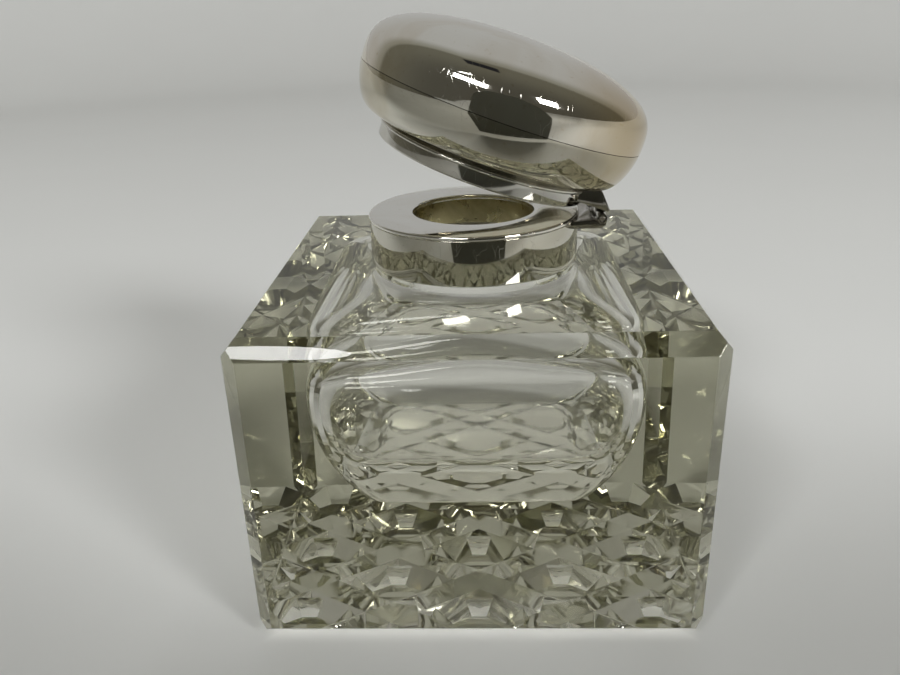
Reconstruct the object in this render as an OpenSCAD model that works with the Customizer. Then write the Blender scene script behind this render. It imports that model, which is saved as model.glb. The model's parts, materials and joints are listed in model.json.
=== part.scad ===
// Square cut-glass inkwell with a silver collar and a hinged, hollow silver lid.
// Millimetres, +Z up. The origin is the centre of the glass block's base.
// The hinge lies on the +X side, and its axis is parallel to Y.

/* [Glass block] */
// Width and depth of the square block
block_w = 90; // [84:1:100]
// Height of the block, from its base to its flat top
block_h = 66.6; // [65:0.1:75]
// How far the top bevel reaches in from each side
top_bevel_in = 3; // [2:0.5:4]
// How far the top bevel reaches down each side
top_bevel_drop = 3.6; // [2:0.2:5]
// Leg of the bevel on each upright edge
corner_bevel = 3.1; // [2:0.1:4]
// Leg of the bevel round the base
base_bevel = 4; // [3.9:0.1:5]

/* [Cut base] */
// Cells of the hobnail pattern along each side
cells = 5; // [5:2:7]
// Depth of the grooves that run parallel to the sides
groove_depth = 3.5; // [3:0.1:3.9]
// Depth of the diagonal grooves
diagonal_depth = 3.9; // [3.4:0.1:3.9]
// Half width of a groove for each millimetre of its depth
groove_spread = 1; // [0.9:0.05:1.1]
// Half diagonal of the small pyramid in the middle of a star cell
star_half = 5.4; // [5:0.1:5.8]

/* [Ink well] */
// Half width of the well at its widest
well_half = 33; // [30:0.5:34]
// Plan radius of the well's corners at its widest
well_corner = 16; // [15:0.5:18]
// Height of the well's floor above the base
well_floor = 24.4; // [23:0.2:29]
// Height of the well's widest level
well_wide = 50.1; // [48:0.1:51]
// Radius that turns the wall over into the shoulder
shoulder_r = 13; // [11:0.5:13]
// Radius of the long curve that brings the wall in to the floor
wall_r = 35; // [32:1:40]
// Radius between wall and floor
floor_r = 4; // [3:0.5:4]

/* [Neck] */
// Outer radius of the glass neck inside the collar
neck_r = 20.5; // [19:0.5:20.5]
// Bore radius of the glass neck
neck_bore_r = 14; // [14:0.1:15]
// Height of the low glass step that the collar stands on
seat_h = 1.5; // [1:0.1:2]
// Gap between the top of the neck and the collar plate, filled with plaster
neck_gap = 1; // [0.6:0.1:1.5]

/* [Collar] */
// Outer radius of the collar band
collar_r = 22.3; // [22:0.1:23]
// Height of the collar, band and plate together
collar_h = 10.2; // [9:0.1:12]
// Wall of the collar band
band_t = 0.8; // [0.6:0.1:1]
// Thickness of the annular top plate
plate_t = 1; // [0.8:0.1:1.4]
// How far the plate stands proud of the band
plate_lip = 0.15; // [0:0.05:0.3]
// Radius of the opening
throat_r = 13; // [12:0.1:13.2]
// Wall of the throat sleeve
sleeve_t = 0.6; // [0.5:0.1:0.8]
// Length of the throat sleeve below the plate
sleeve_h = 5.5; // [4:0.5:7]

/* [Hinge] */
// Distance of the hinge axis from the collar's axis
hinge_x = 26.3; // [26:0.1:27]
// How far the hinge axis lies below the plate's top face
hinge_drop = 0.25; // [0.2:0.05:0.5]
// Length of the hinge
hinge_len = 20; // [16:0.5:22]
// Outer radius of a hinge knuckle
knuckle_r = 1.05; // [0.95:0.05:1.2]
// Radius of the hinge pin
pin_r = 0.5; // [0.4:0.05:0.6]
// Radial clearance of the lid's knuckles on the pin
pin_fit = 0.05; // [0.03:0.01:0.08]
// Gap between neighbouring knuckles
knuckle_gap = 0.2; // [0.1:0.05:0.3]
// How far the lug's top lies below the plate's top
lug_drop = 0.7; // [0.6:0.1:0.8]
// Thickness of the lug
lug_t = 1.5; // [1.2:0.1:1.7]
// Angle at which the lid stands open at rest
rest_open = 20; // [0:1:60]

/* [Lid] */
// Outer radius of the bezel
bezel_r = 22.4; // [22:0.1:22.6]
// Wall of the bezel
bezel_t = 1.4; // [1:0.1:1.6]
// Height of the bezel
bezel_h = 3.6; // [3:0.1:4]
// Gap between the bezel and the collar plate when the lid is shut
shut_gap = 0.3; // [0.2:0.05:0.4]
// Radius of the half-round wire on the bezel
wire_r = 0.4; // [0.3:0.05:0.5]
// Largest radius of the lid, at the seam
lid_r = 29.8; // [29:0.1:31]
// Height of the seam above the bezel's lower edge
seam_h = 13.35; // [12:0.1:15]
// Height of the dome above the seam
dome_h = 13.7; // [12:0.1:16]
// Radius at which the under shell starts to turn up
turn_r = 26; // [25.5:0.1:26.5]
// Rise of the under shell between the bezel and that radius
turn_rise = 1.4; // [1.2:0.1:1.8]
// Wall of the lid's shells
shell_t = 0.8; // [0.6:0.1:1]
// How far the dome stands proud of the under shell at the seam
seam_lip = 0.2; // [0.1:0.05:0.3]
// Exponent of the dome's outline across, where 2 is an ellipse
dome_across = 1.97; // [1.9:0.01:2.2]
// Exponent of the dome's outline upward, higher is flatter on top
dome_up = 3.4; // [2.4:0.1:3.6]
// Exponent of the under shell's outline
under_power = 1.72; // [1.6:0.02:2.2]
// Depth of the liner's underside above the bezel's lower edge
liner_depth = 2.2; // [2:0.1:2.4]
// Rise of the dished liner at its middle
liner_rise = 0.8; // [0.5:0.1:1]
// Thickness of the liner
liner_t = 0.6; // [0.5:0.1:0.8]

/* [Hidden] */

$fn = 96;
over = 1;
arc_steps = 10;
outline_steps = 16;
long_cut = block_w * 1.5;

half_w = block_w / 2;
pitch = block_w / cells;
inner_cells = (cells - 1) / 2;

well_square = well_half - well_corner;
well_top = well_wide + shoulder_r;
mouth_cone_h = 2;

collar_z = block_h + seat_h;
plate_top = collar_z + collar_h;
plate_z = plate_top - plate_t;
neck_top = plate_z - neck_gap;
seat_inset = 0.5;
seat_r = collar_r - seat_inset;
band_in = collar_r - band_t;

hinge_z = plate_top - hinge_drop;
knuckle_count = 5;
knuckle_pitch = hinge_len / knuckle_count;
lug_z = plate_top - lug_drop - lug_t;
finger_room = knuckle_r + 0.45;
lug_out = 0.9;
lug_chamfer = 0.6;

lid_z = plate_top + shut_gap;
bezel_top = lid_z + bezel_h;
bezel_in = bezel_r - bezel_t;
seam_z = lid_z + seam_h;
under_r = lid_r - seam_lip;
leaf_floor = 1.7;
leaf_edge = 0.35;
leaf_tip = [0.65, 2.2];
leaf_shoulder = [-2, 5];
finger_half = 0.95;
finger_low = 0.2;
finger_root = 1.4;

glass = [0.74, 0.75, 0.66, 0.45];
silver = [0.78, 0.77, 0.74];
gilt = [0.72, 0.64, 0.42];

// Points of an arc about c, from angle a to angle b.
function arc(c, r, a, b, steps) =
    [for (i = [0:steps]) c + r * [cos(a + (b - a) * i / steps), sin(a + (b - a) * i / steps)]];

// Half outline of a dome of radius r and height h, from its rim up to its middle.
function dome_outline(r, h) =
    [for (i = [0:outline_steps])
        let (a = 90 * i / outline_steps)
        [i == outline_steps ? 0 : r * pow(cos(a), 2 / dome_across), seam_z + h * pow(sin(a), 2 / dome_up)]];

// Outline of the under shell from the seam down to its turn, drawn in by t on every side.
function under_outline(t) =
    [for (i = [0:outline_steps])
        let (a = 90 * i / outline_steps)
        [turn_r - t + (under_r - turn_r) * (i == outline_steps ? 0 : pow(cos(a), 2 / under_power)),
         seam_z - (seam_h - bezel_h - turn_rise - t) * pow(sin(a), 2 / under_power)]];

// Places its children as the lid, turned open about the hinge by the rest angle.
module lid_at_rest() {
    translate([hinge_x, 0, hinge_z]) rotate([0, rest_open, 0]) translate([-hinge_x, 0, -hinge_z])
        children();
}

// A flat ring of material between two radii and two heights.
module band(r_in, r_out, z_low, z_high) {
    rotate_extrude() translate([r_in, z_low]) square([r_out - r_in, z_high - z_low]);
}

// An outline in X and Z, drawn from the hinge axis, carried along Y between two places.
module hinge_bar(outline, y_low, y_high) {
    translate([hinge_x, y_high, hinge_z]) rotate([90, 0, 0]) linear_extrude(y_high - y_low) polygon(outline);
}

// A round bar on the hinge axis between two places along Y.
module hinge_round(r, y_low, y_high) {
    translate([hinge_x, y_high, hinge_z]) rotate([90, 0, 0]) cylinder(r = r, h = y_high - y_low);
}

// Where knuckle number i starts and ends, counted from the front.
function knuckle_start(i) = -hinge_len / 2 + i * knuckle_pitch + (i == 0 ? 0 : knuckle_gap / 2);
function knuckle_end(i) =
    -hinge_len / 2 + (i + 1) * knuckle_pitch - (i == knuckle_count - 1 ? 0 : knuckle_gap / 2);

// A hinge tube with its bore.
module knuckle(i, bore_r) {
    difference() {
        hinge_round(knuckle_r, knuckle_start(i), knuckle_end(i));
        hinge_round(bore_r, knuckle_start(i) - over, knuckle_end(i) + over);
    }
}

// The bevelled block before the well and the base are cut.
module block() {
    difference() {
        linear_extrude(block_h) intersection() {
            square(block_w, center = true);
            rotate(45) square((block_w - corner_bevel) * sqrt(2), center = true);
        }
        for (turn = [0:3]) rotate(90 * turn) {
            side_cutter([half_w - top_bevel_in, block_h], [half_w, block_h - top_bevel_drop]);
            side_cutter([half_w, base_bevel], [half_w - base_bevel, 0]);
        }
    }
}

// Removes what lies outside the line through two points, along one side of the block.
module side_cutter(p, q) {
    run = (q - p) / 2;
    reach = [half_w / 4, 0];
    rotate([90, 0, 0]) linear_extrude(long_cut, center = true)
        polygon([p - run, q + run, q + run + reach, p - run + reach]);
}

// A V groove under the base, centred at distance d from the middle, before it is turned.
module groove(d, depth) {
    grow = 1.5;
    rotate([90, 0, 0]) linear_extrude(long_cut, center = true) translate([d, 0])
        polygon([[-groove_spread * depth * grow, depth * (1 - grow)],
                 [groove_spread * depth * grow, depth * (1 - grow)],
                 [0, depth]]);
}

// Straight grooves round each cell, and pairs of diagonal ones that trim every other cell to an
// eight-sided hobnail and cross in the cells between as stars.
module base_grooves() {
    for (turn = [0, 90], i = [-inner_cells:inner_cells - 1])
        rotate(turn) groove((i + 0.5) * pitch, groove_depth);
    for (turn = [45, 135], m = [-cells:2:cells], side = [-1, 1]) {
        away = (m * pitch + side * star_half) / sqrt(2);
        if (abs(away) < half_w * sqrt(2)) rotate(turn) groove(away, diagonal_depth);
    }
}

// Outline of the well's wall: distance out from the inner square, and height.
module well_outline() {
    wall_x = well_corner - wall_r;
    fillet_z = well_floor + floor_r;
    fillet_x = wall_x + sqrt(pow(wall_r - floor_r, 2) - pow(well_wide - fillet_z, 2));
    fillet_turn = -atan2(well_wide - fillet_z, fillet_x - wall_x);
    polygon(concat(
        [[0, well_top], [0, well_floor]],
        arc([fillet_x, fillet_z], floor_r, -90, fillet_turn, arc_steps / 2),
        arc([wall_x, well_wide], wall_r, fillet_turn, 0, arc_steps),
        arc([well_corner - shoulder_r, well_wide], shoulder_r, 0, 90, arc_steps)));
}

// The blown well: the outline swept round a rounded square, and the way up through the neck.
module well() {
    translate([-well_square, -well_square, well_floor])
        cube([well_square * 2, well_square * 2, well_top - well_floor]);
    for (turn = [0:3]) rotate(90 * turn) {
        translate([well_square, well_square, 0]) rotate([90, 0, 0])
            linear_extrude(well_square * 2) well_outline();
        translate([well_square, well_square, 0]) rotate_extrude(angle = 90) well_outline();
    }
    translate([0, 0, well_top - over]) cylinder(r = neck_bore_r, h = block_h + collar_h);
    translate([0, 0, well_top - over / 2]) 
        cylinder(r1 = well_square, r2 = neck_bore_r, h = mouth_cone_h);
}

module glass_body() {
    color(glass) difference() {
        union() {
            block();
            translate([0, 0, block_h - over]) cylinder(r = seat_r, h = seat_h + over);
            translate([0, 0, block_h - over]) cylinder(r = neck_r, h = neck_top - block_h + over);
        }
        well();
        base_grooves();
    }
}

module neck_plaster() {
    color("ivory") rotate_extrude() polygon([
        [neck_r, collar_z], [band_in, collar_z], [band_in, plate_z],
        [throat_r + sleeve_t, plate_z], [throat_r + sleeve_t, neck_top], [neck_r, neck_top]]);
}

module collar_band() {
    color(silver) band(band_in, collar_r, collar_z, plate_z);
}

module collar_plate() {
    color(silver) band(throat_r, collar_r + plate_lip, plate_z, plate_top);
}

module collar_sleeve() {
    color(gilt) band(throat_r, throat_r + sleeve_t, plate_z - sleeve_h, plate_z);
}

// The lug lies against the band and carries the collar's knuckles on its outer edge.
module hinge_lug() {
    low = lug_z - hinge_z;
    high = low + lug_t;
    color(silver) difference() {
        hinge_bar([[-hinge_x / 2, low], [lug_out - lug_chamfer * 2, low],
                   [lug_out - lug_chamfer / 3, low + lug_chamfer], [lug_out, 0], [-knuckle_r, 0],
                   [-knuckle_r, high], [-hinge_x / 2, high]], -hinge_len / 2, hinge_len / 2);
        translate([0, 0, lug_z - over]) cylinder(r = collar_r, h = lug_t + over * 3);
        translate([0, 0, plate_z]) cylinder(r = collar_r + plate_lip, h = plate_t);
        hinge_round(knuckle_r, -hinge_len / 2 - over, hinge_len / 2 + over);
        for (i = [1, 3])
            hinge_round(finger_room, knuckle_end(i - 1), knuckle_start(i + 1));
    }
}

module collar_knuckle_front() {
    color(silver) knuckle(0, pin_r);
}

module collar_knuckle_middle() {
    color(silver) knuckle(2, pin_r);
}

module collar_knuckle_rear() {
    color(silver) knuckle(4, pin_r);
}

module hinge_pin() {
    color("dimgray") hinge_round(pin_r, -hinge_len / 2, hinge_len / 2);
}

module lid_dome() {
    outer = dome_outline(lid_r, dome_h);
    inner = dome_outline(lid_r - shell_t, dome_h - shell_t);
    last = len(inner) - 1;
    color(silver) lid_at_rest() rotate_extrude()
        polygon(concat(outer, [for (i = [0:last]) inner[last - i]]));
}

module lid_under_shell() {
    outer = concat(under_outline(0), [[bezel_r, bezel_top], [bezel_in, bezel_top]]);
    inner = concat(under_outline(shell_t), [[bezel_r - shell_t / 2, bezel_top + shell_t],
                                            [bezel_in, bezel_top + shell_t]]);
    last = len(inner) - 1;
    color(silver) lid_at_rest() rotate_extrude()
        polygon(concat(outer, [for (i = [0:last]) inner[last - i]]));
}

module lid_bezel() {
    color(silver) lid_at_rest() band(bezel_in, bezel_r, lid_z, bezel_top);
}

// The wire stops on each side of the hinge leaf.
module lid_bezel_wire() {
    color(silver) lid_at_rest() difference() {
        rotate_extrude() translate([bezel_r, bezel_top - wire_r * 1.1]) difference() {
            circle(r = wire_r);
            translate([-wire_r * 2, -wire_r * 2]) square([wire_r * 2, wire_r * 4]);
        }
        translate([0, -hinge_len / 2, lid_z]) cube([collar_r * 2, hinge_len, bezel_h * 2]);
    }
}

// A shallow dish inside the bezel that closes the hollow lid.
module lid_liner() {
    low = lid_z + liner_depth;
    dish_r = (bezel_in * bezel_in + liner_rise * liner_rise) / (2 * liner_rise);
    half_angle = asin(bezel_in / dish_r);
    color(gilt) lid_at_rest() rotate_extrude() polygon(concat(
        arc([0, low + liner_rise - dish_r], dish_r, 90 - half_angle, 90, arc_steps),
        arc([0, low + liner_rise + liner_t - dish_r], dish_r, 90, 90 - half_angle, arc_steps)));
}

// The bracket over the hinge, with a finger down to each of the lid's knuckles.
module lid_hinge_leaf() {
    color(silver) lid_at_rest() difference() {
        union() {
            hinge_bar([[-hinge_x / 2, leaf_floor], [leaf_edge, leaf_floor], leaf_tip, leaf_shoulder,
                       [-hinge_x / 2, leaf_shoulder[1]]], -hinge_len / 2, hinge_len / 2);
            for (i = [1, 3])
                hinge_bar([[-finger_half, finger_low], [finger_half, finger_low], leaf_tip,
                           [leaf_edge, leaf_floor + finger_low], [-finger_root, leaf_floor + finger_low]],
                          knuckle_start(i), knuckle_end(i));
        }
        translate([0, 0, lid_z - over]) cylinder(r = bezel_r, h = bezel_h * 3);
        rotate_extrude() polygon([[0, bezel_top], [bezel_r, bezel_top], [turn_r, bezel_top + turn_rise],
                                  [turn_r, seam_z], [0, seam_z]]);
        hinge_round(knuckle_r, -hinge_len, hinge_len);
    }
}

module lid_knuckle_front() {
    color(silver) lid_at_rest() knuckle(1, pin_r + pin_fit);
}

module lid_knuckle_rear() {
    color(silver) lid_at_rest() knuckle(3, pin_r + pin_fit);
}

glass_body();
neck_plaster();
collar_band();
collar_plate();
collar_sleeve();
hinge_lug();
collar_knuckle_front();
collar_knuckle_middle();
collar_knuckle_rear();
hinge_pin();
lid_dome();
lid_under_shell();
lid_bezel();
lid_bezel_wire();
lid_liner();
lid_hinge_leaf();
lid_knuckle_front();
lid_knuckle_rear();
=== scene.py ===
"""A square cut-glass inkwell with a silver collar and a hinged silver lid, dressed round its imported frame.

Shapes are in millimetres, which MM turns into the frame's metres. Textures and lamps are in metres.
"""

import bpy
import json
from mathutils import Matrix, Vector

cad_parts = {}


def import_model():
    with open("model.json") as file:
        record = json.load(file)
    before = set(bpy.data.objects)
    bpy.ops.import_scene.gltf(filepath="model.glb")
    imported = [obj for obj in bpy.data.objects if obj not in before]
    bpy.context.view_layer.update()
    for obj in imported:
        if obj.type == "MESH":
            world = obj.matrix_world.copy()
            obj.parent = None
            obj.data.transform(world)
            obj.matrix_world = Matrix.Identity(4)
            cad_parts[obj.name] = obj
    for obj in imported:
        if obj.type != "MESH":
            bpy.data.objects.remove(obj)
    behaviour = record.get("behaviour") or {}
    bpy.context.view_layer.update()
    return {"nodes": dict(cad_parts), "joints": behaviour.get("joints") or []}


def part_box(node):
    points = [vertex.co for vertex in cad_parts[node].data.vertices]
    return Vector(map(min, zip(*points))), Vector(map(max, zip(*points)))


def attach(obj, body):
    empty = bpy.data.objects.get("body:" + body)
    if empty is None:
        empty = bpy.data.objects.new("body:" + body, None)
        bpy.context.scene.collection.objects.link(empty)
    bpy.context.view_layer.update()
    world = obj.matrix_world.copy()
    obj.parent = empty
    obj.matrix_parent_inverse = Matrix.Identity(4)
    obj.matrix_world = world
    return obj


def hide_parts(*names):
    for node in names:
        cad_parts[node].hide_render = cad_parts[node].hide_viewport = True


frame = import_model()

import json
import math

import bmesh
import bpy
from mathutils import Matrix, Vector

MM = 0.001
NODES = frame["nodes"]


def box_mm(node):
    """A node's lowest and highest corner in millimetres."""
    low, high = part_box(node)
    return low / MM, high / MM


# ---------------------------------------------------------------- driving sizes, in millimetres
BASE_HIGH = box_mm("glass_body")[1]
BAND_LOW, BAND_HIGH = box_mm("collar_band")
PLATE_LOW, PLATE_HIGH = box_mm("collar_plate")
SLEEVE_LOW, SLEEVE_HIGH = box_mm("collar_sleeve")

# the collar, and the seat on the block that it stands on
COLLAR_Z = BAND_LOW.z
COLLAR_R = BAND_HIGH.x
BAND_T = 0.8
BAND_IN = COLLAR_R - BAND_T
PLATE_Z = PLATE_LOW.z
PLATE_TOP = PLATE_HIGH.z
THROAT_R = 13.0
SEAT_H = 1.5
SEAT_R = COLLAR_R - 0.5

# the glass block, its neck and the bore down to the well
HALF_W = BASE_HIGH.x
BLOCK_TOP = COLLAR_Z - SEAT_H
NECK_TOP = BASE_HIGH.z
NECK_R = 20.5
BORE_R = 14.0
MOUTH_R = 2.0  # rounding where the bore opens into the well
EDGE_BORDER = 3.5  # the block's outer edges lie within this of its sides
CUTS_TOP = 3.0  # outer edges wholly below this belong to the cut base and stay sharp
GLASS_EDGE = 0.22

# the blown well: stacked rings between a square and a circle, widest at WELL_WIDE
WELL_SQUARE = 17.0  # half width of the square that the curve of the walls is carried round
WELL_CORNER = 16.0  # how far the widest ring lies outside that square
WELL_FLOOR = 24.4
WELL_WIDE = 50.1
WELL_POWER = 9.0  # squareness of a ring, where 2 is a circle
FLOOR_SQUARE = 6.0  # squareness that is added towards the floor
WELL_COLUMNS = 176
SHOULDER_RINGS = 24
SHOULDER_R = 13.0
WALL_R = 35.0
FLOOR_R = 4.0

# the hinge, and the angle at which the lid stands at rest
HINGE = frame["joints"][0]
HINGE_X = HINGE["pos_m"][0] / MM
HINGE_Z = HINGE["pos_m"][2] / MM
REST_OPEN = math.radians(-HINGE["range_deg"][0])
LEAF_HALF = 10.0  # half width of the hinge leaf

# the lid, measured with the lid shut
LID_Z = PLATE_TOP + 0.3
BEZEL_R = 22.4
BEZEL_IN = 21.0
BEZEL_TOP = LID_Z + 3.6
SEAM_Z = LID_Z + 13.35
LID_R = 29.8
UNDER_R = LID_R - 0.03
DOME_H = 13.7
TURN_R = 26.0  # where the under shell turns in towards the bezel
TURN_RISE = 1.4
SHELL_T = 0.8
WIRE_R = 0.4
SEAM_DEEP = 0.35
SEAM_GAP = 0.06
DOME_ACROSS = 1.97  # superellipse powers of the dome and the under shell
DOME_UP = 3.4
UNDER_POWER = 1.72
LINER_Z = LID_Z + 2.2
LINER_RISE = 0.8
LINER_T = 0.6

HAIR = 0.01  # a gap too small to see
AROUND = 256  # columns of a turned piece


# ---------------------------------------------------------------- mesh helpers
def link(name, mesh):
    piece = bpy.data.objects.new(name, mesh)
    bpy.context.scene.collection.objects.link(piece)
    return piece


def smooth_by_angle(mesh, degrees):
    """Smooth shading, with the edges that turn by more than the angle kept sharp."""
    mesh.shade_smooth()
    mesh.set_sharp_from_angle(angle=math.radians(degrees))


def arc(centre, radius, start, end, steps):
    """Points of an arc in the profile plane, from angle start to angle end in degrees."""
    turn = [math.radians(start + (end - start) * i / steps) for i in range(steps + 1)]
    return [(centre[0] + radius * math.cos(a), centre[1] + radius * math.sin(a)) for a in turn]


def rounded(outline, radii, steps=5):
    """A closed outline with each corner turned into an arc of its own radius."""
    points = []
    count = len(outline)
    for i, radius in enumerate(radii):
        here = Vector(outline[i])
        to_last = (Vector(outline[i - 1]) - here).normalized()
        to_next = (Vector(outline[(i + 1) % count]) - here).normalized()
        half = to_last.angle(to_next) / 2
        run = radius / math.tan(half)
        first = here + to_last * run
        last = here + to_next * run
        centre = here + (to_last + to_next).normalized() * (radius / math.sin(half))
        sweep = math.pi - 2 * half
        side = 1 if to_last.cross(to_next) < 0 else -1
        spoke = first - centre
        for k in range(steps + 1):
            turn = side * sweep * k / steps
            cos, sin = math.cos(turn), math.sin(turn)
            points.append((centre.x + spoke.x * cos - spoke.y * sin,
                           centre.y + spoke.x * sin + spoke.y * cos))
    return points


def lathe(name, profile, closed=True, around=AROUND, angle=25, start=0.0, sweep=2 * math.pi):
    """A turned piece, whole or part of the way round. A profile point is a radius and a height, or a pole."""
    bm = bmesh.new()
    whole = sweep > 2 * math.pi - 1e-6
    columns = around if whole else around + 1
    rings = []
    for radius, height in profile:
        if radius < 1e-6:
            rings.append([bm.verts.new((0, 0, height * MM))])
            continue
        turns = [start + sweep * k / around for k in range(columns)]
        rings.append([bm.verts.new((radius * math.cos(a) * MM, radius * math.sin(a) * MM, height * MM))
                      for a in turns])
    pairs = list(zip(rings, rings[1:])) + ([(rings[-1], rings[0])] if closed else [])
    for low, high in pairs:
        if len(low) == 1 and len(high) == 1:
            continue
        for k in range(around):
            nxt = (k + 1) % columns
            if len(low) == 1:
                bm.faces.new((low[0], high[nxt], high[k]))
            elif len(high) == 1:
                bm.faces.new((low[k], low[nxt], high[0]))
            else:
                bm.faces.new((low[k], low[nxt], high[nxt], high[k]))
    if not whole and closed:
        bm.faces.new([loop[0] for loop in rings])
        bm.faces.new([loop[-1] for loop in reversed(rings)])
    bmesh.ops.recalc_face_normals(bm, faces=bm.faces)
    mesh = bpy.data.meshes.new(name)
    bm.to_mesh(mesh)
    bm.free()
    smooth_by_angle(mesh, angle)
    return link(name, mesh)


def open_lid(piece):
    """Turns a lid piece, built shut, to the angle at which the lid stands at rest."""
    pivot = Vector((HINGE_X, 0, HINGE_Z)) * MM
    turn = Matrix.Rotation(REST_OPEN, 4, Vector(HINGE["axis"]))
    piece.data.transform(Matrix.Translation(pivot) @ turn @ Matrix.Translation(-pivot))
    return piece


def welded_copy(node):
    """A node's mesh as one welded shell."""
    bm = bmesh.new()
    bm.from_mesh(NODES[node].data)
    bmesh.ops.remove_doubles(bm, verts=bm.verts, dist=0.1 * HAIR * MM)
    return bm


def apply_modifiers(piece):
    """Leaves the piece with its final mesh and no modifiers."""
    graph = bpy.context.evaluated_depsgraph_get()
    final = bpy.data.meshes.new_from_object(piece.evaluated_get(graph), depsgraph=graph)
    piece.modifiers.clear()
    piece.data = final


def dress(piece, body, slot, material, *nodes):
    """The piece takes its material, rides on its body and stands for its CAD nodes."""
    piece.data.materials.clear()
    piece.data.materials.append(material)
    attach(piece, body)
    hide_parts(*nodes)


# ---------------------------------------------------------------- material helpers
class Nodes:
    """Short calls that add nodes to a tree and return the socket that comes out."""

    def __init__(self, owner, place):
        owner.use_nodes = True
        self.tree = owner.node_tree
        self.place = self.add("ShaderNodeTexCoord").outputs[place]

    def add(self, kind, **settings):
        node = self.tree.nodes.new(kind)
        for key, value in settings.items():
            setattr(node, key, value)
        return node

    def put(self, socket, value):
        if hasattr(value, "is_linked"):
            self.tree.links.new(value, socket)
        else:
            socket.default_value = value

    def noise(self, scale, detail=3.0, rough=0.55, stretch=(1, 1, 1), distortion=0.0, turn=(0, 0, 0)):
        """Soft noise around 0.5, with its place stretched and turned first."""
        mapping = self.add("ShaderNodeMapping")
        self.put(mapping.inputs["Vector"], self.place)
        mapping.inputs["Scale"].default_value = stretch
        mapping.inputs["Rotation"].default_value = turn
        node = self.add("ShaderNodeTexNoise")
        self.put(node.inputs["Vector"], mapping.outputs["Vector"])
        node.inputs["Scale"].default_value = scale
        node.inputs["Detail"].default_value = detail
        node.inputs["Roughness"].default_value = rough
        node.inputs["Distortion"].default_value = distortion
        return node.outputs["Fac"]

    def ramp(self, value, low, high, to_low=0.0, to_high=1.0):
        """The value from low to high, mapped to another range and held there."""
        node = self.add("ShaderNodeMapRange", interpolation_type="SMOOTHSTEP")
        self.put(node.inputs["Value"], value)
        for socket, number in zip(("From Min", "From Max", "To Min", "To Max"), (low, high, to_low, to_high)):
            node.inputs[socket].default_value = number
        return node.outputs["Result"]

    def math(self, operation, a, b=0.0):
        node = self.add("ShaderNodeMath", operation=operation)
        self.put(node.inputs[0], a)
        self.put(node.inputs[1], b)
        return node.outputs[0]

    def mix(self, factor, a, b):
        """Colour a where the factor is 0, and colour b where it is 1."""
        first_colour, second_colour, colour_out = 6, 7, 2
        node = self.add("ShaderNodeMix", data_type="RGBA")
        self.put(node.inputs[0], factor)
        self.put(node.inputs[first_colour], a)
        self.put(node.inputs[second_colour], b)
        return node.outputs[colour_out]

    def axis(self, index):
        """One coordinate of the place: 0 is X, 1 is Y and 2 is Z."""
        split = self.add("ShaderNodeSeparateXYZ")
        self.put(split.inputs[0], self.place)
        return split.outputs[index]

    def bump(self, height, distance, strength=1.0, under=None):
        """A normal from a height, whose distance is in metres, on top of another normal if one is given."""
        node = self.add("ShaderNodeBump")
        self.put(node.inputs["Height"], height)
        node.inputs["Strength"].default_value = strength
        node.inputs["Distance"].default_value = distance
        if under is not None:
            self.put(node.inputs["Normal"], under)
        return node.outputs["Normal"]

    def reach(self):
        """How far out a place is from the middle, the same along each side of a square."""
        return self.math("MAXIMUM", self.math("ABSOLUTE", self.axis(0)), self.math("ABSOLUTE", self.axis(1)))

    def scratches(self, scale, turn, fine=0.0015):
        """1 on a hairline scratch, 0 elsewhere."""
        value = self.noise(scale, detail=1.0, stretch=(1, 0.04, 0.3), turn=turn)
        off = self.math("ABSOLUTE", self.math("SUBTRACT", value, 0.5))
        return self.ramp(off, fine, 0.0, 0.0, 1.0)


class Shader(Nodes):
    """A new material with its Principled shader."""

    def __init__(self, name):
        self.material = bpy.data.materials.new(name)
        super().__init__(self.material, "Object")
        self.bsdf = self.tree.nodes["Principled BSDF"]
        self.out = self.tree.nodes["Material Output"]

    def set(self, **values):
        """Constants on the Principled shader's own sockets, or links into them."""
        for key, value in values.items():
            self.put(self.bsdf.inputs[key.replace("_", " ")], value)


def colour(r, g, b):
    return (r, g, b, 1.0)


# ---------------------------------------------------------------- materials
def silver(name, clean, dull, tarnish_amount, painted_dark_ends=False, wear=1.0, haze=0.0):
    """Polished silver with warm tarnish in soft clouds, hairline scratches and a hand-worked surface.

    Tarnish runs from the clean tone to the dull one, and a painted darker reflection may lie on the left
    and right ends. Wear deepens the scratches, and haze roughens the whole surface.
    """
    s = Shader(name)
    clouds = s.noise(45, detail=4, rough=0.6, distortion=0.6)
    tarnish = s.ramp(clouds, 0.42, 0.75, 0.0, tarnish_amount)
    if painted_dark_ends:
        # painted reflection: the silver turns duller and warmer towards the left and right ends, as the lid
        # is seen from the front
        ends = s.math("ABSOLUTE", s.axis(0))
        tarnish = s.math("ADD", tarnish, s.ramp(ends, 0.012, 0.030, 0.05, 0.95))
    specks = s.ramp(s.noise(900, detail=2), 0.66, 0.74, 0.0, 0.25)
    tarnish = s.math("MINIMUM", s.math("ADD", tarnish, specks), 1.0)
    tone = s.mix(tarnish, colour(*clean), colour(*dull))
    lines = s.math("MAXIMUM", s.scratches(260, (0.3, 0.2, 0.5)), s.scratches(330, (1.1, 0.4, -0.9)))
    rough = s.ramp(s.noise(160, detail=5, rough=0.7), 0.3, 0.8, 0.03 + haze, 0.075 + haze)
    rough = s.math("ADD", rough, s.math("MULTIPLY", lines, 0.10 * wear))
    worked = s.bump(s.noise(38, detail=1.5), 0.00010, 0.5)
    marks = s.bump(lines, 0.00001, 0.25 * wear, worked)
    s.set(Base_Color=tone, Metallic=1.0, Roughness=rough, Normal=marks)
    return s.material


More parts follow.
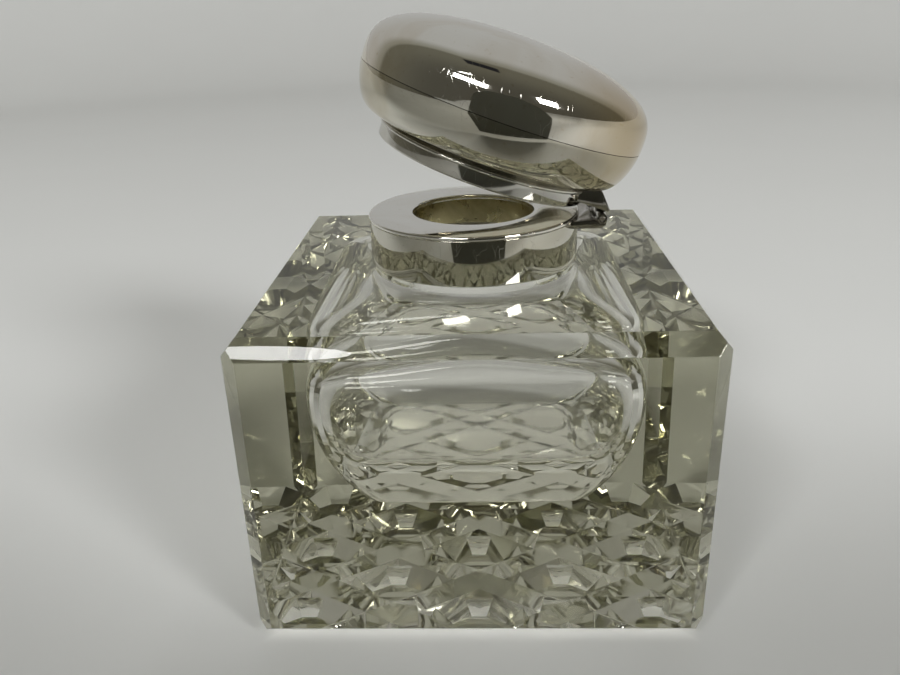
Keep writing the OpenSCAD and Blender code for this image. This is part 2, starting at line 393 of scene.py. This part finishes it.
def gilt():
    """Worn gilding, stained brown and green by ink."""
    s = Shader("tarnished_gilt_look")
    stain = s.ramp(s.noise(120, detail=5, rough=0.65, distortion=1.0), 0.3, 0.8)
    tone = s.mix(stain, colour(0.52, 0.46, 0.27), colour(0.30, 0.26, 0.14))
    rough = s.ramp(s.noise(300, detail=4), 0.3, 0.7, 0.22, 0.42)
    s.set(Base_Color=tone, Metallic=1.0, Roughness=rough,
          Normal=s.bump(s.noise(500, detail=3), 0.00003, 0.4))
    return s.material


def pin_metal():
    """Drawn wire with dark grime in its grain."""
    s = Shader("pin_look")
    grime = s.ramp(s.noise(600, detail=3), 0.4, 0.7)
    tone = s.mix(grime, colour(0.34, 0.31, 0.26), colour(0.10, 0.08, 0.06))
    s.set(Base_Color=tone, Metallic=1.0, Roughness=s.ramp(s.noise(900), 0.3, 0.7, 0.3, 0.5))
    return s.material


def plaster():
    """Pale bedding, stained in soft patches."""
    s = Shader("plaster_look")
    stain = s.ramp(s.noise(150, detail=4), 0.35, 0.75)
    tone = s.mix(stain, colour(0.62, 0.58, 0.47), colour(0.40, 0.34, 0.24))
    s.set(Base_Color=tone, Roughness=0.9, Normal=s.bump(s.noise(700, detail=4), 0.0001, 0.15))
    return s.material


def cut_glass():
    """Lead glass with a faint olive tint through its depth, matt cuts and a slightly rough blown floor."""
    s = Shader("cut_glass_look")
    height = s.axis(2)
    handled = s.ramp(s.noise(70, detail=4), 0.45, 0.8, 0.0, 0.012)
    # a matt surface on the cuts of the base, then a slightly rough one inside the lower part of the well
    matt_cuts = s.ramp(height, 0.0046, 0.0039, 0.0, 0.04)
    within_well = s.ramp(s.reach(), 0.040, 0.036)
    above_cuts = s.ramp(height, 0.018, 0.022)
    well_floor = s.ramp(height, 0.034, 0.025, 0.0, 0.20)
    blown = s.math("MULTIPLY", s.math("MULTIPLY", within_well, well_floor), above_cuts)
    rough = s.math("ADD", handled, s.math("MAXIMUM", matt_cuts, blown))
    s.set(Base_Color=colour(1, 1, 1), IOR=1.53, Transmission_Weight=1.0, Roughness=rough,
          Normal=s.bump(s.noise(25, detail=1), 0.00002, 0.15))
    tint, tint_density = colour(0.60, 0.592, 0.42), 15.5
    depth = s.add("ShaderNodeVolumeAbsorption")
    depth.inputs["Color"].default_value = tint
    depth.inputs["Density"].default_value = tint_density
    s.put(s.out.inputs["Volume"], depth.outputs["Volume"])
    return s.material


SILVER_LID = silver("silver_lid_look", (0.81, 0.80, 0.75), (0.55, 0.45, 0.30), 0.4, painted_dark_ends=True)
# The under shell, band, bezel and hinge take darker copies of the same silver as the dome and plate: painted
# shade, darkest on the hinge
SILVER_UNDER = silver("silver_under_look", (0.68, 0.665, 0.59), (0.46, 0.39, 0.26), 0.5, painted_dark_ends=True)
SILVER_COLLAR = silver("silver_collar_look", (0.80, 0.79, 0.75), (0.52, 0.44, 0.31), 0.3, wear=1.6)
SILVER_BAND = silver("silver_band_look", (0.62, 0.61, 0.54), (0.42, 0.36, 0.25), 0.4, wear=1.6)
SILVER_BEZEL = silver("silver_bezel_look", (0.60, 0.59, 0.55), (0.36, 0.31, 0.22), 0.5, wear=1.4, haze=0.02)
SILVER_HINGE = silver("silver_hinge_look", (0.40, 0.385, 0.35), (0.19, 0.155, 0.11), 0.8, wear=1.2, haze=0.05)
GILT_LINER = silver("gilt_liner_look", (0.74, 0.71, 0.58), (0.50, 0.43, 0.28), 0.5, haze=0.10)
GILT = gilt()
PIN = pin_metal()
PLASTER = plaster()
GLASS = cut_glass()


# ---------------------------------------------------------------- the glass
def ring(half, power, height, radius=0.0, share=0.0):
    """A squared circle of a half width, moved towards a true circle by a share from 0 to 1."""
    points = []
    for k in range(WELL_COLUMNS):
        a = 2 * math.pi * k / WELL_COLUMNS
        cos, sin = math.cos(a), math.sin(a)
        away = half / (abs(cos) ** power + abs(sin) ** power) ** (1 / power)
        away += (radius - away) * share
        points.append((away * cos, away * sin, height))
    return points


def well_rings():
    """The rings from the well's floor, up through the bore, and down the outside of the neck to the block."""
    wall_x = WELL_CORNER - WALL_R
    fillet_z = WELL_FLOOR + FLOOR_R
    fillet_x = wall_x + math.sqrt((WALL_R - FLOOR_R) ** 2 - (WELL_WIDE - fillet_z) ** 2)
    fillet_turn = -math.degrees(math.atan2(WELL_WIDE - fillet_z, fillet_x - wall_x))
    side = arc((fillet_x, fillet_z), FLOOR_R, -90, fillet_turn, 8)
    side += arc((wall_x, WELL_WIDE), WALL_R, fillet_turn, 0, 22)[1:]
    rings = []
    for out, z in side:
        power = WELL_POWER + FLOOR_SQUARE * max(0.0, 1 - out / WELL_CORNER) ** 2
        rings.append(ring(WELL_SQUARE + out, power, z))
    square_part = 0.2  # of the shoulder, before it starts to turn round
    for k in range(1, SHOULDER_RINGS + 1):
        risen = k / SHOULDER_RINGS
        a = math.pi / 2 * risen
        out = WELL_CORNER - SHOULDER_R + SHOULDER_R * math.cos(a)
        share = max(0.0, (risen - square_part) / (1 - square_part))
        share = share * share * (3 - 2 * share)
        rings.append(ring(WELL_SQUARE + out, WELL_POWER, WELL_WIDE + SHOULDER_R * math.sin(a),
                          WELL_SQUARE + out, share))
    round_power = 2
    lip, foot, seat_edge, seat_foot = 0.5, 0.4, 0.2, 0.3  # small slopes at the neck's turns
    top_z = WELL_WIDE + SHOULDER_R
    neck = [(BORE_R + 2 * MOUTH_R, top_z)]
    neck += arc((BORE_R + MOUTH_R, top_z + MOUTH_R), MOUTH_R, -90, -180, 6)
    neck += [(BORE_R, NECK_TOP - lip), (BORE_R + lip, NECK_TOP), (NECK_R - lip, NECK_TOP),
             (NECK_R, NECK_TOP - lip), (NECK_R, COLLAR_Z + foot), (NECK_R + foot, COLLAR_Z),
             (SEAT_R - seat_edge, COLLAR_Z), (SEAT_R, COLLAR_Z - seat_edge), (SEAT_R, BLOCK_TOP + seat_foot)]
    rings += [ring(r, round_power, z) for r, z in neck]
    return rings


def is_inside(face):
    """Whether a face of the CAD's glass is part of its well, bore or neck, which the smooth rings replace."""
    spots = [v.co for v in face.verts]
    in_well = all(max(abs(p.x), abs(p.y)) < (WELL_SQUARE + WELL_CORNER + 0.1) * MM
                  and (WELL_FLOOR - HAIR) * MM < p.z < (BLOCK_TOP - HAIR) * MM for p in spots)
    in_bore = all(math.hypot(p.x, p.y) < (BORE_R + 2 * MOUTH_R) * MM and p.z > WELL_FLOOR * MM for p in spots)
    return in_well or in_bore or face.calc_center_median().z > (BLOCK_TOP + HAIR) * MM


def is_outer_edge(edge):
    """Whether an edge is one of the block's sharp outer edges, above the cuts of its base."""
    border = all(max(abs(v.co.x), abs(v.co.y)) > (HALF_W - EDGE_BORDER) * MM for v in edge.verts)
    sharp = edge.calc_face_angle(0) > math.radians(20)
    return border and sharp and max(v.co.z for v in edge.verts) > CUTS_TOP * MM


def glass_body():
    """The CAD's cut block, with a smooth well, bore and neck sewn into it and its outer edges softened."""
    bm = welded_copy("glass_body")
    bmesh.ops.delete(bm, geom=[f for f in bm.faces if is_inside(f)], context="FACES")
    bmesh.ops.dissolve_limit(bm, angle_limit=math.radians(0.2), verts=bm.verts, edges=bm.edges)
    rim = [e for e in bm.edges if len(e.link_faces) == 1]
    rings = [[bm.verts.new(Vector(spot) * MM) for spot in loop] for loop in well_rings()]
    for low, high in zip(rings, rings[1:]):
        for k in range(len(low)):
            nxt = (k + 1) % len(low)
            bm.faces.new((low[k], high[k], high[nxt], low[nxt]))
    bm.faces.new(rings[0])
    last = rings[-1]
    seat = [bm.edges.get((last[k], last[(k + 1) % len(last)])) for k in range(len(last))]
    bmesh.ops.bridge_loops(bm, edges=rim + seat)
    bmesh.ops.recalc_face_normals(bm, faces=bm.faces)
    weight = bm.edges.layers.float.new("bevel_weight_edge")
    for edge in bm.edges:
        if is_outer_edge(edge):
            edge[weight] = 1.0
    mesh = bpy.data.meshes.new("cut_glass_body")
    bm.to_mesh(mesh)
    bm.free()
    piece = link("cut_glass_body", mesh)
    softened = piece.modifiers.new("edge", "BEVEL")
    softened.limit_method = "WEIGHT"
    softened.width = GLASS_EDGE * MM
    softened.segments = 2
    apply_modifiers(piece)
    smooth_by_angle(piece.data, 12)
    dress(piece, "base", "cut_glass", GLASS, "glass_body")


# ---------------------------------------------------------------- the collar
def collar():
    """The band, the plate, the sleeve that lines the throat, and the plaster that beds them on the neck."""
    band = rounded([(BAND_IN, COLLAR_Z), (COLLAR_R, COLLAR_Z), (COLLAR_R, PLATE_Z), (BAND_IN, PLATE_Z)],
                   [0.1, 0.3, 0.05, 0.05])
    dress(lathe("silver_collar_band", band), "base", "polished_silver", SILVER_BAND, "collar_band")
    lip = PLATE_HIGH.x
    plate = rounded([(THROAT_R, PLATE_Z), (lip, PLATE_Z), (lip, PLATE_TOP), (THROAT_R, PLATE_TOP)],
                    [0.05, 0.3, 0.45, 0.35])
    dress(lathe("silver_collar_plate", plate), "base", "polished_silver", SILVER_COLLAR, "collar_plate")
    sleeve_r, foot = SLEEVE_HIGH.x, SLEEVE_LOW.z
    sleeve = rounded([(THROAT_R, foot), (sleeve_r, foot), (sleeve_r, PLATE_Z), (THROAT_R, PLATE_Z)],
                     [0.2, 0.2, 0.05, 0.05])
    dress(lathe("gilt_throat_sleeve", sleeve), "base", "tarnished_gilt", GILT, "collar_sleeve")
    grip = 0.03  # how far the plaster reaches into the glass
    bed_low, bed_high = COLLAR_Z + 0.02, PLATE_Z - HAIR
    bed_out, bed_in = BAND_IN - HAIR, sleeve_r + HAIR
    neck_r, neck_top = NECK_R - grip, NECK_TOP - grip
    bed = [(neck_r, COLLAR_Z + 0.45), (SEAT_R - 0.35, bed_low), (bed_out, bed_low), (bed_out, bed_high),
           (bed_in, bed_high), (bed_in, neck_top), (neck_r, neck_top)]
    dress(lathe("plaster_bedding", bed), "base", "plaster", PLASTER, "neck_plaster")


# ---------------------------------------------------------------- the hinge
def bevelled(name, node, body, slot, material, width, segments=3):
    """A node's own shape with its edges rounded."""
    bm = welded_copy(node)
    bmesh.ops.dissolve_limit(bm, angle_limit=math.radians(1), verts=bm.verts, edges=bm.edges)
    mesh = bpy.data.meshes.new(name)
    bm.to_mesh(mesh)
    bm.free()
    piece = link(name, mesh)
    edge = piece.modifiers.new("edge", "BEVEL")
    edge.limit_method = "ANGLE"
    edge.angle_limit = math.radians(25)
    edge.width = width * MM
    edge.segments = segments
    edge.use_clamp_overlap = True
    apply_modifiers(piece)
    smooth_by_angle(piece.data, 30)
    dress(piece, body, slot, material, node)


def hinge():
    """The lug, the leaf, the pin and the knuckles that alternate along it."""
    bevelled("hinge_lug_plate", "hinge_lug", "base", "polished_silver", SILVER_HINGE, 0.12)
    for node in ("collar_knuckle_front", "collar_knuckle_middle", "collar_knuckle_rear"):
        bevelled(node + "_tube", node, "base", "polished_silver", SILVER_HINGE, 0.08, 2)
    bevelled("hinge_pin_wire", "hinge_pin", "base", "pin_metal", PIN, 0.1)
    bevelled("lid_leaf_bracket", "lid_hinge_leaf", "lid", "polished_silver", SILVER_HINGE, 0.12)
    for node in ("lid_knuckle_front", "lid_knuckle_rear"):
        bevelled(node + "_tube", node, "lid", "polished_silver", SILVER_HINGE, 0.08, 2)


# ---------------------------------------------------------------- the lid
def dome_curve(radius, height, steps=72):
    """Half outline of the dome from its rim to its middle: a superellipse."""
    points = []
    for i in range(steps + 1):
        a = math.pi / 2 * (i / steps) ** 1.6
        r = 0.0 if i == steps else radius * math.cos(a) ** (2 / DOME_ACROSS)
        points.append((r, SEAM_Z + height * math.sin(a) ** (2 / DOME_UP)))
    return points


def under_curve(inset, steps=40):
    """Outline of the under shell from the seam down to its turn."""
    points = []
    for i in range(steps + 1):
        a = math.pi / 2 * i / steps
        reach = 0.0 if i == steps else math.cos(a) ** (2 / UNDER_POWER)
        drop = (SEAM_Z - BEZEL_TOP - TURN_RISE - inset) * math.sin(a) ** (2 / UNDER_POWER)
        points.append((TURN_R - inset + (UNDER_R - TURN_R) * reach, SEAM_Z - drop))
    return points


def dome():
    """The upper shell, whose rim turns in to leave a seam."""
    outer = dome_curve(LID_R, DOME_H)
    outer[0] = (LID_R - SEAM_DEEP, SEAM_Z + HAIR)
    outer.insert(1, (LID_R - HAIR, SEAM_Z + SEAM_GAP))
    inner = dome_curve(LID_R - SHELL_T, DOME_H - SHELL_T, 40)
    piece = open_lid(lathe("silver_dome", outer + inner[::-1]))
    dress(piece, "lid", "polished_silver", SILVER_LID, "lid_dome")


def under_shell():
    """The lower shell, from its side of the seam down to the bezel."""
    curve = under_curve(0)
    curve[0] = (UNDER_R, SEAM_Z - SEAM_GAP)
    curve.insert(0, (UNDER_R - SEAM_DEEP, SEAM_Z - HAIR))
    under = curve + [(BEZEL_R + 0.6, BEZEL_TOP + 0.23), (BEZEL_R, BEZEL_TOP), (BEZEL_IN, BEZEL_TOP)]
    inner_z = BEZEL_TOP + SHELL_T
    above = under_curve(SHELL_T) + [(BEZEL_R - SHELL_T / 2, inner_z), (BEZEL_IN, inner_z)]
    piece = open_lid(lathe("silver_under_shell", under + above[::-1]))
    dress(piece, "lid", "polished_silver", SILVER_UNDER, "lid_under_shell")


def bezel():
    """The ring that seats on the collar, and the wire above it, which stops at the hinge leaf."""
    outline = rounded([(BEZEL_IN, LID_Z), (BEZEL_R, LID_Z), (BEZEL_R, BEZEL_TOP), (BEZEL_IN, BEZEL_TOP)],
                      [0.3, 0.45, 0.05, 0.05])
    piece = open_lid(lathe("silver_bezel", outline))
    dress(piece, "lid", "polished_silver", SILVER_BEZEL, "lid_bezel")
    wire = arc((BEZEL_R, BEZEL_TOP - WIRE_R * 1.1), WIRE_R, -90, 90, 10)
    gap = math.asin(LEAF_HALF / BEZEL_R)
    piece = open_lid(lathe("silver_bezel_wire", wire, start=gap, sweep=2 * (math.pi - gap)))
    dress(piece, "lid", "polished_silver", SILVER_BEZEL, "lid_bezel_wire")


def liner():
    """The shallow dish that closes the hollow lid from below."""
    dish_r = (BEZEL_IN ** 2 + LINER_RISE ** 2) / (2 * LINER_RISE)
    half = math.degrees(math.asin(BEZEL_IN / dish_r))
    centre_z = LINER_Z + LINER_RISE - dish_r
    dish = arc((0, centre_z), dish_r, 90 - half, 90, 24)
    back = arc((0, centre_z + LINER_T), dish_r, 90, 90 - half, 24)
    dish[-1] = (0, dish[-1][1])
    back[0] = (0, back[0][1])
    piece = open_lid(lathe("gilt_lid_liner", dish + back))
    dress(piece, "lid", "tarnished_gilt", GILT_LINER, "lid_liner")


# ---------------------------------------------------------------- studio
def table_look():
    """Pale, with painted shade that greys it towards the front and the left, and a painted glow of light
    under the block.
    """
    s = Shader("floor_look")
    x, y = s.axis(0), s.axis(1)
    # painted shade: the table's colour darkens towards the front and the left, where shade falls
    sideways = s.math("MAXIMUM", s.math("MULTIPLY", x, -1.0), s.math("MULTIPLY", x, 0.35))
    left_light = s.ramp(s.math("SUBTRACT", y, sideways), -0.75, -0.22, 0.5, 1.0)
    front_light = s.ramp(s.math("ADD", y, s.math("MULTIPLY", x, 0.4)), -0.26, -0.03, 0.0, 1.0)
    light = s.math("MULTIPLY", left_light, front_light)
    tone = s.mix(light, colour(0.30, 0.30, 0.275), colour(0.80, 0.81, 0.80))
    tone = s.mix(s.ramp(s.noise(6, detail=2), 0.3, 0.7, 0.0, 0.04), tone, colour(0.6, 0.6, 0.59))
    # painted light: the table glows faintly under the block, where light through the glass would fall
    painted_glow_under_block = s.ramp(s.reach(), HALF_W * MM, (HALF_W - 6) * MM, 0.0, 0.26)
    s.set(Base_Color=tone, Roughness=0.75, Specular_IOR_Level=0.2, Emission_Color=colour(1, 0.99, 0.94),
          Emission_Strength=painted_glow_under_block)
    return s.material


def floor():
    """A pale round table that sweeps up into a low rim, a hair below the glass so that they never touch."""
    flat_r, sweep_r, clearance = 1000, 700, 0.2
    profile = [(0, 0)] + [(r, 0) for r in (60, 150, 300, 600, flat_r)]
    profile += arc((flat_r, sweep_r), sweep_r, -88, -40, 16)
    piece = lathe("studio_floor", profile, closed=False, around=96, angle=60)
    piece.location.z = -clearance * MM
    piece.data.materials.append(table_look())


def card_look():
    """Matt dark card."""
    s = Shader("flag_look")
    s.set(Base_Color=colour(0.10, 0.10, 0.08), Roughness=0.9)
    return s.material


def flag():
    """A dark card in front that shades the table's front edge and shows in the silver."""
    card_y = -205
    corners = [(-75, 12), (125, 12), (140, 90), (110, 150), (60, 188), (-35, 188), (-75, 150), (-95, 90)]
    bm = bmesh.new()
    bm.faces.new([bm.verts.new((x * MM, card_y * MM, z * MM)) for x, z in corners])
    mesh = bpy.data.meshes.new("studio_flag")
    bm.to_mesh(mesh)
    bm.free()
    card = link("studio_flag", mesh)
    card.visible_camera = False
    mesh.materials.append(card_look())


def area(name, azimuth, elevation, wide, tall, radiance, roll=0, shape="RECTANGLE"):
    """A lamp some degrees wide and tall, aimed at the lid. Azimuth 0 is the front and 90 is the right."""
    distance = 3.0
    aim = Vector((0, 0, 0.09))
    a, e = math.radians(azimuth), math.radians(elevation)
    away = Vector((math.sin(a) * math.cos(e), -math.cos(a) * math.cos(e), math.sin(e)))
    data = bpy.data.lights.new(name, "AREA")
    data.shape = shape
    data.size = 2 * distance * math.tan(math.radians(wide) / 2)
    data.size_y = 2 * distance * math.tan(math.radians(tall) / 2)
    data.energy = radiance * math.pi * data.size * data.size_y
    lamp = link(name, data)
    lamp.location = aim + away * distance
    spin = Matrix.Rotation(math.radians(roll), 3, "Z").to_quaternion()
    lamp.rotation_euler = (away.to_track_quat("Z", "Y") @ spin).to_euler()


def lights():
    """Two soft lamps on the front's left and right, and a thin one that glints along the front bevel."""
    area("key_left", -22, 37, wide=25, tall=8, radiance=27, roll=-14)
    area("key_right", 44, 27, wide=14, tall=11, radiance=36, roll=-20)
    area("bevel_line", -25, 52, wide=11, tall=1, radiance=10.5, roll=19, shape="ELLIPSE")


def world():
    """A dim warm room in front, with one dark beam overhead, and a pale wall behind the object."""
    made = bpy.data.worlds.new("studio")
    bpy.context.scene.world = made
    w = Nodes(made, "Generated")
    x, y, up = w.axis(0), w.axis(1), w.axis(2)
    depth = w.math("SUBTRACT", y, w.math("MULTIPLY", w.math("ABSOLUTE", x), 0.35))
    room = w.mix(w.ramp(depth, -0.9, 0.0), colour(0.075, 0.071, 0.057), colour(0.135, 0.129, 0.10))
    wall = w.mix(w.ramp(depth, 0.12, 0.42), colour(0.26, 0.255, 0.22), colour(0.43, 0.43, 0.42))
    tone = w.mix(w.ramp(depth, 0.04, 0.14), room, wall)
    beam_deep = w.ramp(w.math("ABSOLUTE", w.math("ADD", y, 0.05)), 0.09, 0.07)
    beam_long = w.ramp(w.math("ABSOLUTE", w.math("SUBTRACT", x, 0.09)), 0.16, 0.14)
    beam = w.math("MULTIPLY", w.math("MULTIPLY", beam_deep, beam_long), w.ramp(up, 0.5, 0.6))
    background = w.tree.nodes["Background"]
    w.put(background.inputs["Color"], w.mix(beam, tone, colour(0.018, 0.018, 0.02)))
    background.inputs["Strength"].default_value = 1.0


def camera():
    """A close view from the front and a little above, as the object is seen on a table."""
    data = bpy.data.cameras.new("camera")
    data.lens = 32.757
    data.sensor_width = 36.0
    data.clip_start = 0.01
    cam = bpy.data.objects.new("camera", data)
    bpy.context.scene.collection.objects.link(cam)
    azimuth, elevation, roll = (math.radians(turn) for turn in (2.475, 22.96, -1.845))
    back = Vector((math.sin(azimuth) * math.cos(elevation), -math.cos(azimuth) * math.cos(elevation),
                   math.sin(elevation)))
    turn = back.to_track_quat("Z", "Y") @ Matrix.Rotation(roll, 3, "Z").to_quaternion()
    cam.rotation_mode = "QUATERNION"
    cam.rotation_quaternion = turn
    cam.location = Vector((1.6, -173.12, BLOCK_TOP + 55.02)) * MM
    bpy.context.scene.camera = cam


def look():
    """Plain colours, and enough bounces for light to cross the glass."""
    scene = bpy.context.scene
    scene.view_settings.view_transform = "Standard"
    scene.cycles.max_bounces = 32
    scene.cycles.transmission_bounces = 32
    scene.cycles.glossy_bounces = 12
    scene.cycles.transparent_max_bounces = 16
    scene.cycles.blur_glossy = 0.3


glass_body()
collar()
hinge()
dome()
under_shell()
bezel()
liner()
floor()
flag()
lights()
world()
camera()
look()
